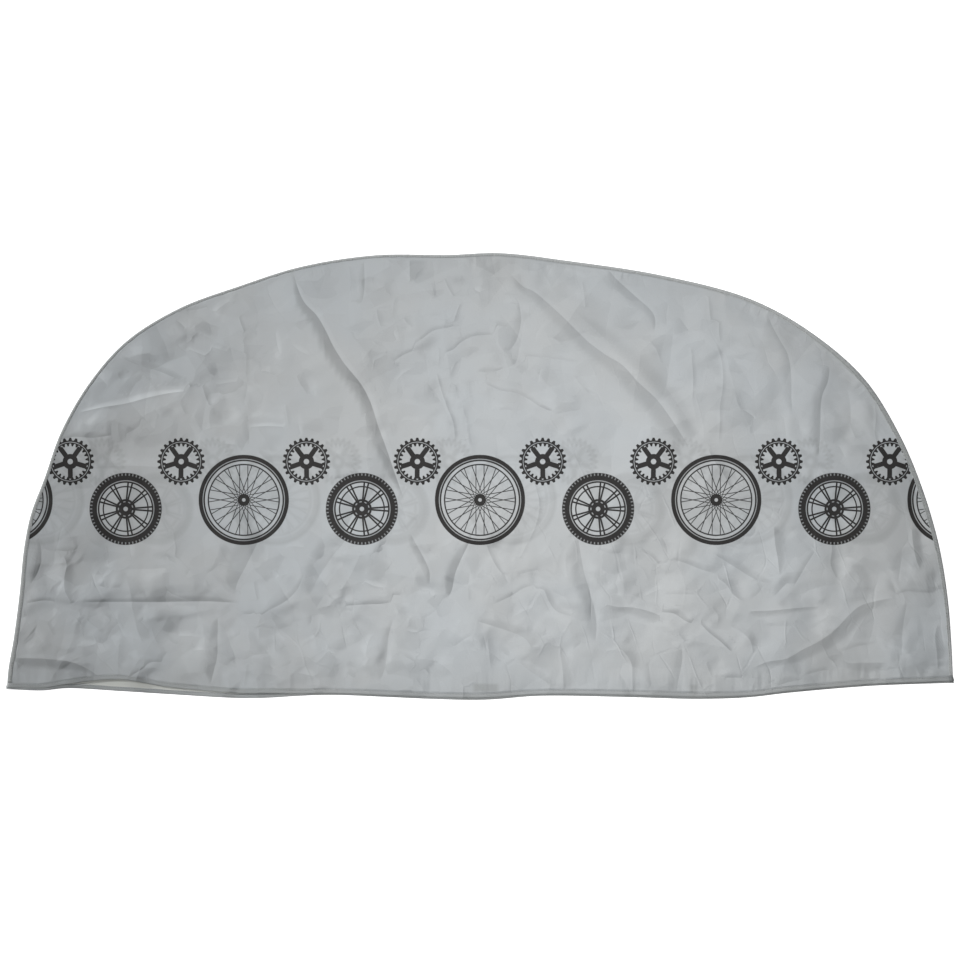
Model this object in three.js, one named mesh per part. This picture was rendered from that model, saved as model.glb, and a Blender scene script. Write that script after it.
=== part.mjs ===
// A mobility scooter cover laid out flat: two half-dome panels of thin coated cloth, one over the
// other, joined along their curved edge by a folded binding and left open along the straight hem,
// where the scooter goes in. Millimetres, +Z up. The cover lies on the plane z = 0 with its hem
// towards -Y, and its origin is below the middle of its outline.

import * as THREE from "three";
import { mergeVertices } from "three/addons/utils/BufferGeometryUtils.js";

// Driving dimensions.
const CLOTH = 1; // thickness of one layer of cloth or tape
const LAYER_GAP = 0.3; // space between layers where the binding holds them together
const BINDING_WIDTH = 10; // of the tape's folded half
const HEM_WIDTH = 13;
const HEM_THICKNESS = 2.2; // the folded hem lies on the inner face of its panel
const HEM_STEP = 2; // run over which the hem's fold tapers into the single layer
const HEM_CLEAR = 110; // the hem starts this far from the curved edge, past the bound layers
const HEM_FADE = 40; // further run over which it comes to its full thickness
const LIE = 3.8; // height of the front panel's underside above the floor, where it lies on the back one
const SEAM_FLAT = 30; // strip along the curved edge where the front panel stays level with the binding
const FRONT_RISE = 75; // further run over which its folds come to their full height
const BACK_FLAT = 60; // the same strip of the back panel
const BACK_FALL = 60; // further run over which the back panel comes down onto the floor
const SIDE_RUN = 0.02; // share of the curved edge that bounds a panel's first column at each end

// Levels of the stacked layers in the bound edge.
const BACK_EDGE_Z = CLOTH + LAYER_GAP;
const FRONT_EDGE_Z = BACK_EDGE_Z + CLOTH + LAYER_GAP;
const BINDING_TOP_Z = FRONT_EDGE_Z + CLOTH + LAYER_GAP + CLOTH;
const PANEL_INSET = 3; // the panels' cut edges stop short of the fold of the tape

// Mesh density.
const FRONT_GRID = { columns: 80, rows: 32 };
const BACK_GRID = { columns: 36, rows: 9 };
const EDGE_SAMPLES = 400;

// The curved edge, from the hem's left corner over the top to its right corner.
const CURVED_EDGE = [
  { x: -1050, y: -472 },
  { x: -1047, y: -430 },
  { x: -1035, y: -360 },
  { x: -1022, y: -260 },
  { x: -1012, y: -160 },
  { x: -997, y: -85 },
  { x: -967, y: -5 },
  { x: -930, y: 98 },
  { x: -868, y: 206 },
  { x: -786, y: 299 },
  { x: -668, y: 373 },
  { x: -533, y: 423 },
  { x: -400, y: 465 },
  { x: -235, y: 491 },
  { x: -70, y: 492 },
  { x: 45, y: 496 },
  { x: 200, y: 478 },
  { x: 400, y: 447 },
  { x: 600, y: 394 },
  { x: 733, y: 321 },
  { x: 852, y: 218 },
  { x: 930, y: 95 },
  { x: 980, y: -22 },
  { x: 1018, y: -150 },
  { x: 1038, y: -270 },
  { x: 1047, y: -385 },
  { x: 1050, y: -458 },
];

// The hem, left to right: y is the back panel's edge, and lag is how far the front panel's edge
// lies short of it.
const HEM_EDGE = [
  { x: -1047, y: -472, lag: 4 },
  { x: -972, y: -475, lag: 5 },
  { x: -917, y: -470, lag: 9 },
  { x: -804, y: -476, lag: 26 },
  { x: -693, y: -483, lag: 17 },
  { x: -533, y: -492, lag: 11 },
  { x: -333, y: -485, lag: 8 },
  { x: 0, y: -496, lag: 5 },
  { x: 133, y: -487, lag: 4 },
  { x: 333, y: -490, lag: 5 },
  { x: 488, y: -494, lag: 5 },
  { x: 599, y: -490, lag: 4 },
  { x: 677, y: -481, lag: 4 },
  { x: 866, y: -465, lag: 4 },
  { x: 1047, y: -458, lag: 4 },
];

// The front panel's main folds: each is a ridge from (x0, y0) to (x1, y1) that lifts the cloth by
// rise. Its sides fall off over left and right, as one looks along it.
const FOLDS = [
  { name: "left pleat, upper", x0: -412, y0: 440, x1: -235, y1: 130, left: 90, right: 28, rise: 10 },
  { name: "left pleat, lower", x0: -235, y0: 130, x1: -100, y1: -230, left: 75, right: 28, rise: 8 },
  { name: "long ridge, upper", x0: 80, y0: 440, x1: 320, y1: 240, left: 30, right: 48, rise: 9 },
  { name: "long ridge, lower", x0: 320, y0: 240, x1: 560, y1: -30, left: 30, right: 44, rise: 8 },
  { name: "short ridge", x0: 290, y0: 440, x1: 405, y1: 320, left: 28, right: 38, rise: 6 },
  { name: "right shoulder ridge", x0: 715, y0: 270, x1: 708, y1: 10, left: 30, right: 48, rise: 7 },
  { name: "right edge ridge", x0: 815, y0: 220, x1: 800, y1: 40, left: 45, right: 30, rise: 5 },
  { name: "left shoulder ridge", x0: -860, y0: 150, x1: -540, y1: 205, left: 30, right: 45, rise: 7 },
  { name: "left shoulder bank", x0: -790, y0: 300, x1: -640, y1: 235, left: 50, right: 30, rise: 5 },
  { name: "over packing crease", x0: -930, y0: -235, x1: -540, y1: -240, left: 75, right: 30, rise: 7 },
  { name: "under packing crease", x0: -880, y0: -320, x1: -570, y1: -315, left: 30, right: 60, rise: 4 },
  { name: "left corner ridge", x0: -1000, y0: -375, x1: -850, y1: -400, left: 50, right: 30, rise: 5 },
  { name: "right corner fold, upper", x0: 915, y0: -245, x1: 800, y1: -300, left: 30, right: 75, rise: 9 },
  { name: "right corner fold, lower", x0: 800, y0: -300, x1: 610, y1: -395, left: 34, right: 80, rise: 10 },
  { name: "right side ridge", x0: 955, y0: -300, x1: 950, y1: -430, left: 36, right: 36, rise: 5 },
  { name: "middle drop", x0: 180, y0: -140, x1: 220, y1: -370, left: 30, right: 60, rise: 8 },
  { name: "middle bank", x0: 45, y0: -190, x1: 75, y1: -410, left: 50, right: 60, rise: 4 },
  { name: "low slant", x0: -165, y0: -310, x1: -215, y1: -470, left: 55, right: 30, rise: 6 },
  { name: "low left drop", x0: -565, y0: -330, x1: -580, y1: -470, left: 50, right: 28, rise: 6 },
  { name: "low right drop", x0: 470, y0: -350, x1: 460, y1: -475, left: 45, right: 30, rise: 5 },
  { name: "mouth lift", x0: -850, y0: -455, x1: -730, y1: -455, left: 62, right: 62, rise: 4 },
];

const curvedEdge = new THREE.CatmullRomCurve3(
  CURVED_EDGE.map(({ x, y }) => new THREE.Vector3(x, y, 0)),
  false,
  "centripetal",
);
curvedEdge.arcLengthDivisions = EDGE_SAMPLES;
const edgeSamples = curvedEdge.getSpacedPoints(EDGE_SAMPLES);
// Each point holds the hem's place in x and y and the front panel's lag in z.
const hemEdge = new THREE.CatmullRomCurve3(
  HEM_EDGE.map(({ x, y, lag }) => new THREE.Vector3(x, y, lag)),
  false,
  "centripetal",
);

const { smoothstep, clamp, lerp } = THREE.MathUtils;

// The point at a share of the curved edge, moved inwards by inset.
function boundEdgePoint(share, inset) {
  const point = curvedEdge.getPointAt(share);
  const along = curvedEdge.getTangentAt(share);
  return new THREE.Vector2(point.x + along.y * inset, point.y - along.x * inset);
}

// How far a point of the cloth lies from the curved edge.
function distanceToSeam(point) {
  const squares = edgeSamples.map((p) => (p.x - point.x) ** 2 + (p.y - point.y) ** 2);
  return Math.sqrt(Math.min(...squares));
}

// A fold's height at a point: a soft bell across its line that tapers off past its ends.
function foldHeight(fold, point) {
  const start = new THREE.Vector2(fold.x0, fold.y0);
  const run = new THREE.Vector2(fold.x1, fold.y1).sub(start);
  const away = point.clone().sub(start);
  const width = run.cross(away) > 0 ? fold.left : fold.right;
  const share = clamp(away.dot(run) / run.lengthSq(), 0, 1);
  const offset = away.addScaledVector(run, -share).length();
  return fold.rise * Math.exp(-((offset / width) ** 2));
}

// Height of the front panel's underside: the highest fold counts, where two meet.
function frontLevel(point) {
  const climb = smoothstep(distanceToSeam(point), SEAM_FLAT, SEAM_FLAT + FRONT_RISE);
  const lift = Math.max(...FOLDS.map((fold) => foldHeight(fold, point)));
  return FRONT_EDGE_Z + climb * (LIE - FRONT_EDGE_Z + lift);
}

// Height of the back panel's underside, which rests on the floor away from the seam.
function backLevel(point) {
  const fall = smoothstep(distanceToSeam(point), BACK_FLAT, BACK_FLAT + BACK_FALL);
  return BACK_EDGE_Z * (1 - fall);
}

// Distances of a column's rows from the hem: the hem's fold, its taper, even steps over the cloth,
// and the level strip in the binding.
function rowDistances(length, rows) {
  const hem = Math.min(HEM_WIDTH, length / 4);
  const first = hem + HEM_STEP;
  const last = length - Math.min(SEAM_FLAT / 2, length / 4);
  const steps = rows - 2;
  const even = Array.from({ length: steps }, (_, i) => lerp(first, last, i / (steps - 1)));
  return [0, hem, ...even, length];
}

// The points of one panel, column by column, from the hem to the curved edge.
function panelColumns(grid, lagShare) {
  return Array.from({ length: grid.columns + 1 }, (_, i) => {
    const share = i / grid.columns;
    const hem = hemEdge.getPointAt(share);
    const foot = new THREE.Vector2(hem.x, hem.y + hem.z * lagShare);
    const head = boundEdgePoint(lerp(SIDE_RUN, 1 - SIDE_RUN, share), PANEL_INSET);
    const length = foot.distanceTo(head);
    return rowDistances(length, grid.rows).map((d) => foot.clone().lerp(head, d / length));
  });
}

// A closed sheet of cloth: a box with one cell for each column and row, whose lower and upper faces
// are moved to the heights that faces gives for a point and its row.
function sheetGeometry(grid, lagShare, faces) {
  const columns = panelColumns(grid, lagShare);
  const box = new THREE.BoxGeometry(1, 1, 1, grid.columns, grid.rows, 1);
  box.deleteAttribute("normal");
  box.deleteAttribute("uv");
  const position = box.getAttribute("position");
  for (let i = 0; i < position.count; i += 1) {
    const column = Math.round((position.getX(i) + 0.5) * grid.columns);
    const row = Math.round((position.getY(i) + 0.5) * grid.rows);
    const point = columns[column][row];
    const { lower, upper } = faces(point, row);
    position.setXYZ(i, point.x, point.y, position.getZ(i) > 0 ? upper : lower);
  }
  const merged = mergeVertices(box);
  merged.computeVertexNormals();
  return merged;
}

// The extra thickness of the folded hem, which rows 0 and 1 bound and which lies on the panel's
// inner face.
function hemFold(point, row) {
  const share = row > 1 ? 0 : smoothstep(distanceToSeam(point), HEM_CLEAR, HEM_CLEAR + HEM_FADE);
  return share * (HEM_THICKNESS - CLOTH);
}

function frontPanelGeometry() {
  return sheetGeometry(FRONT_GRID, 1, (point, row) => {
    const level = frontLevel(point);
    return { lower: level - hemFold(point, row), upper: level + CLOTH };
  });
}

function backPanelGeometry() {
  return sheetGeometry(BACK_GRID, 0, (point, row) => {
    const level = backLevel(point);
    return { lower: level, upper: level + CLOTH + hemFold(point, row) };
  });
}

// The binding's section: a tape folded round the edges of both panels. Across the path the shape's
// x points down and its y points out of the cover.
function bindingGeometry() {
  const inner = -BINDING_WIDTH;
  const section = [
    { out: inner, z: 0 },
    { out: 0, z: 0 },
    { out: 0, z: BINDING_TOP_Z },
    { out: inner, z: BINDING_TOP_Z },
    { out: inner, z: BINDING_TOP_Z - CLOTH },
    { out: -CLOTH, z: BINDING_TOP_Z - CLOTH },
    { out: -CLOTH, z: CLOTH },
    { out: inner, z: CLOTH },
  ];
  const shape = new THREE.Shape(section.map(({ out, z }) => new THREE.Vector2(-z, out)));
  return new THREE.ExtrudeGeometry(shape, {
    extrudePath: curvedEdge,
    steps: 2 * FRONT_GRID.columns,
    bevelEnabled: false,
  });
}

function piece(name, geometry, material) {
  const mesh = new THREE.Mesh(geometry, material);
  mesh.name = name;
  return mesh;
}

const coatedCloth = new THREE.MeshStandardMaterial({
  color: 0xb4b8bb,
  roughness: 0.5,
  metalness: 0,
});
const bindingTape = new THREE.MeshStandardMaterial({
  color: 0x8d9190,
  roughness: 0.75,
  metalness: 0,
});

const cover = new THREE.Group();
cover.add(
  piece("front_panel", frontPanelGeometry(), coatedCloth),
  piece("back_panel", backPanelGeometry(), coatedCloth),
  piece("edge_binding", bindingGeometry(), bindingTape),
);

export default cover;
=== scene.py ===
"""Looks of a mobility scooter cover laid out flat: two half-dome panels of thin coated cloth, bound
together along the curve and hemmed along the straight edge. The tables and shapes are in millimetres,
with +Z up and the hem towards -Y, and become metres when a mesh is made."""

import bmesh
import bpy
import numpy as np
from mathutils import Matrix, Vector
from mathutils.kdtree import KDTree


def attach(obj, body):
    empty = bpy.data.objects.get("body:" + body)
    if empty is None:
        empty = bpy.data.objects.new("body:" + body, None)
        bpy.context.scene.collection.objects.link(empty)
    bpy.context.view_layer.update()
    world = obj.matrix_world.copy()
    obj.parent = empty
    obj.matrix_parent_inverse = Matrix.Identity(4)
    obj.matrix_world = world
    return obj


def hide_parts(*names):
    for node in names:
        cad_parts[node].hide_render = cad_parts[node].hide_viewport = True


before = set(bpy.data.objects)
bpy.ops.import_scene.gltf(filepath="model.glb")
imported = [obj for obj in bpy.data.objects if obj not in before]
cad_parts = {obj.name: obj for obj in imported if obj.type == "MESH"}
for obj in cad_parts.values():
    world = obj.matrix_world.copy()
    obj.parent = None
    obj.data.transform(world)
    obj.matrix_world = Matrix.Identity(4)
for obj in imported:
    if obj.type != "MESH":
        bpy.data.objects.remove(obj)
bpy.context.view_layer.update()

MM = 0.001
TURN = 2 * np.pi
FAR = 1000.0
chance = np.random.default_rng(23)

# Thickness of the cloth and the tape, and levels of the outer faces, in the bound edge and where the
# panels lie.
CLOTH = 0.4
TAPE = 0.45
FRONT_EDGE_Z = 3.6
FRONT_LIE_Z = 4.8
BACK_EDGE_Z = 1.0
BACK_LIE_Z = 0.15
LOWEST_FRONT_Z = 2.4
BINDING_FOOT_Z = 0.1
BINDING_TOP_Z = 4.25

# The light from the window: its heading, its height and the way towards it.
WINDOW_HEADING = np.radians(157)
WINDOW_HEIGHT = np.radians(22)
TOWARDS_LIGHT = np.array([np.cos(WINDOW_HEADING), np.sin(WINDOW_HEADING)])

# How strongly creases show from left to right, as x and a share: the window is on the left.
SHOWN = [(-1000, 1.2), (-300, 1.15), (100, 1.0), (400, 0.85), (1000, 0.85)]

# A crease's slopes give the RELIEF part of its shade, less where that would lift the cloth by more than
# MOST_RISE, and painted shade in the cloth's colour gives the rest. One that runs nearly along the light
# is laid as if it faced it by LEAST_FACING.
RELIEF = 0.5
MOST_RISE = 2.4
LEAST_FACING = 0.5

# The shaded side of a crease stays even over most of its width, the more so the wider it is, and sinks
# again over FALL_OFF widths. The other side is a lit lip: LIP is its share of the shade, and LIP_SHARE
# its share of the width.
FLATNESS = 6.0
LEAST_FLATNESS = 1.2
FLATNESS_WIDTH = 6
FALL_OFF = 4.0
LEAST_FALL = 80
LIP = 0.2
LIP_SHARE = 0.45

# Along a crease: the step of its path, its least width, the shares of its length over which an even and
# a given width run out at the ends, and over which its shade fades.
CREASE_STEP = 5
LEAST_WIDTH = 8
EVEN_RUN_OUT = 0.35
GIVEN_RUN_OUT = 0.15
RUN_OUT_POWER = 0.6
FADE = 0.09
LEAST_FADE = 0.02

# The mesh rounds a crease's line within BLUR. The finish paints its shade's sharp edge as far as
# CRISP_REACH.
# A line keeps weaker ones from having such an edge within OWN_REACH, and in part as far as CLEAR_REACH.
BLUR = 8
CRISP_REACH = 14
OWN_REACH = 24
CLEAR_REACH = 36

# The front panel as it lies: waves with their rise, shortest and longest length and draw, the lift of the
# mouth at the hem, and the distances from the seam over which the cloth rises and its folds set in.
LYING_WAVES = [(0.7, 120, 420, 1), (0.15, 40, 110, 2)]
MOUTH_RISE = 1.5
MOUTH_X = -790
MOUTH_HALF_LENGTH = 95
MOUTH_REACH = 60
FRONT_RISES = (12, 60)
FOLDS_SET_IN = (8, 42)
BACK_SINKS = (60, 120)

# Puckers beside the sewn edges: where they begin and end, their rise, and their waves' lengths and draw.
PUCKERS_BEGIN = (9, 18)
PUCKERS_END = (22, 60)
PUCKER_RISE = 0.8
SEAM_PUCKERS = (13, 36, 4)
LEAST_GATHER = 0.35
GATHER = 0.3
GATHER_WAVES = (150, 500, 3)
HEM_PUCKER_SHARE = 0.5
HEM_PUCKERS = (14, 46, 5)
HEM_PUCKERS_SET_IN = (20, 60)

# How many waves add up to uneven ones along a line and over the cloth, and what evens out their sum.
LINE_WAVES = 9
LINE_WAVE_SUM = 4.5
CLOTH_WAVES = 20
CLOTH_WAVE_SUM = 7

# How the panels are cut and meshed.
EDGE_STEP = 4
SPAN_POINTS = 24
PANEL_INSET = 3
SIDE_RUN = 0.02
CORNER_FLARE = 5
CORNER_REACH = 45
FRONT_GRID = (310, 152)
BACK_GRID = (190, 70)

# The binding's step along the edge, its share left free at either end, and how uneven it is: share of the
# width or rise of the top, then its waves' lengths and draw.
BINDING_STEP = 4.5
BINDING_ENDS = 0.0045
BINDING_WIDTH_WAVES = (0.07, 16, 60, 6)
BINDING_TOP_WAVES = (0.1, 11, 30, 7)

# The stitches: pitch and how uneven it is, half sizes of one, the shares of a row left free at either
# end, the hem row's distance from the edge, and how deep or high the rows lie on their faces.
STITCH_PITCH = 6.2
STITCH_UNEVEN = 0.08
STITCH_SIZE = (2.1, 0.7, 0.4)
STITCH_SIDES = 6
STITCH_RINGS = 5
BINDING_STITCH_ENDS = 0.006
BINDING_STITCH_SINK = 0.2
HEM_STITCH_ENDS = 0.004
HEM_STITCH_IN = 8.0
HEM_LENGTH = 2100
FRONT_STITCH_RISE = -0.15
BACK_STITCH_GAP = 0.1

# The curved edge, from the hem's left corner over the top to its right corner: x, y.
CURVED_EDGE = [
    (-1050, -472), (-1047, -430), (-1035, -360), (-1022, -260), (-1012, -160), (-997, -85),
    (-967, -5), (-930, 98), (-868, 206), (-786, 299), (-668, 373), (-533, 423), (-400, 465),
    (-235, 491), (-70, 492), (45, 496), (200, 478), (400, 447), (600, 394), (733, 321),
    (852, 218), (930, 95), (980, -22), (1018, -150), (1038, -270), (1047, -385), (1050, -458),
]

# The hem, left to right: x, y of the back panel's edge, and how far the front one lies short of it.
HEM_EDGE = [
    (-1047, -472, 4), (-972, -475, 5), (-917, -470, 9), (-804, -476, 26), (-693, -483, 16),
    (-533, -492, 11), (-467, -491, 10), (-400, -487, 5), (-333, -485, 4), (0, -496, 5),
    (133, -487, 4), (333, -490, 5), (488, -494, 5), (599, -490, 4), (677, -481, 4), (866, -465, 4),
    (1047, -458, 4),
]
CORNER_X = HEM_EDGE[-1][0]

# The folded hem from its raw edge inside, round the fold, to the panel: distance from the fold, and
# distance from the panel's outer face.
HEM_SECTION = np.array([
    (10.0, 1.15), (5.5, 1.15), (1.2, 1.12), (0.2, 0.9), (0.0, 0.55), (0.2, 0.2), (1.2, 0.02),
    (4.0, 0.0), (7.2, 0.0), (8.0, 0.06), (8.8, 0.0), (13.0, 0.0),
])

# The binding's section from its lower inner edge, round the fold, to the upper one: share of the
# tape's width from the fold, and share of its height.
BINDING_SECTION = np.array([
    (1.0, 0.05), (0.8, 0.0), (0.45, 0.0), (0.16, 0.02), (0.05, 0.14), (0.0, 0.36), (0.0, 0.64),
    (0.05, 0.86), (0.16, 0.98), (0.4, 1.0), (0.62, 1.0), (0.76, 0.93), (0.9, 0.99), (1.0, 0.96),
])
STITCH_SHARE = 0.76

# Where the tape begins to be darker, on the right, and where that ends, in millimetres along it.
RIGHT_TAPE = ((2350, 2650), (3150, 3260))

# Width of the tape at shares of the curved edge.
BINDING_WIDTH = [
    (0.0, 10.0), (0.1, 8.5), (0.2, 6.0), (0.35, 5.5), (0.45, 6.0), (0.55, 7.5), (0.7, 8.5),
    (0.77, 11.5), (0.88, 11.0), (0.95, 8.5), (1.0, 8.5),
]

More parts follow.
